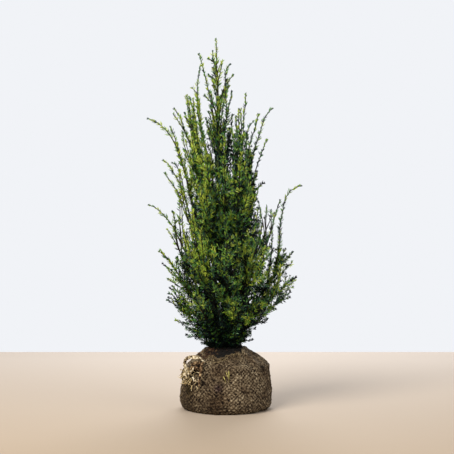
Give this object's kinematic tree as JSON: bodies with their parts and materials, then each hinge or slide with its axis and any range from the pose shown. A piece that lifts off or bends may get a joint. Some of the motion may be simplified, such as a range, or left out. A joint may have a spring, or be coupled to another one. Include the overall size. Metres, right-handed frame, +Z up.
{
  "type": "root-balled yew sapling",
  "caption": "Upright young evergreen with steep boughs and plumes of short needles, standing on the flat underside of its hessian-wrapped root ball.",
  "frame": {"origin": "centre of the root ball's flat underside, under the foot of the trunk", "axes": "+Z up along the trunk, +X to the right and -Y to the front, the side on which the gathered bunch of the cloth shows at the left"},
  "size_m": [0.5029, 0.3944, 1.186],
  "materials": {
    "hessian": "coarse grey-brown hessian, soiled",
    "hessian_straw": "gathered hessian, straw-coloured and frayed",
    "bark": "reddish-brown flaking bark",
    "foliage": "olive to dark green needles"
  },
  "bodies": {
    "root": {"bough_left_hook": "bark", "bough_left_low": "bark", "bough_left_mid": "bark", "bough_left_whip": "bark", "bough_right_hook": "bark", "bough_right_low": "bark", "bough_right_mid": "bark", "bough_right_whip": "bark", "foliage_crown_1": "foliage", "foliage_crown_2": "foliage", "foliage_inner_1": "foliage", "foliage_inner_2": "foliage", "foliage_inner_3": "foliage", "foliage_leader": "foliage", "foliage_left_arm": "foliage", "foliage_left_foot": "foliage", "foliage_left_high": "foliage", "foliage_left_hook": "foliage", "foliage_left_low": "foliage", "foliage_left_mid": "foliage", "foliage_left_near": "foliage", "foliage_left_whip": "foliage", "foliage_lower_1": "foliage", "foliage_lower_2": "foliage", "foliage_lower_3": "foliage", "foliage_lower_4": "foliage", "foliage_lower_5": "foliage", "foliage_lower_6": "foliage", "foliage_middle_1": "foliage", "foliage_middle_2": "foliage", "foliage_middle_3": "foliage", "foliage_middle_4": "foliage", "foliage_middle_5": "foliage", "foliage_middle_6": "foliage", "foliage_right_arm": "foliage", "foliage_right_foot": "foliage", "foliage_right_high": "foliage", "foliage_right_hook": "foliage", "foliage_right_low": "foliage", "foliage_right_mid": "foliage", "foliage_right_near": "foliage", "foliage_right_whip": "foliage", "foliage_skirt_1": "foliage", "foliage_skirt_2": "foliage", "foliage_skirt_3": "foliage", "foliage_skirt_4": "foliage", "foliage_skirt_5": "foliage", "foliage_skirt_left": "foliage", "foliage_skirt_right": "foliage", "foliage_top_front": "foliage", "foliage_top_left": "foliage", "foliage_top_near": "foliage", "foliage_top_right": "foliage", "hessian_bunch": "hessian_straw", "root_ball": "hessian", "trunk": "bark"}
  },
  "joints": []
}
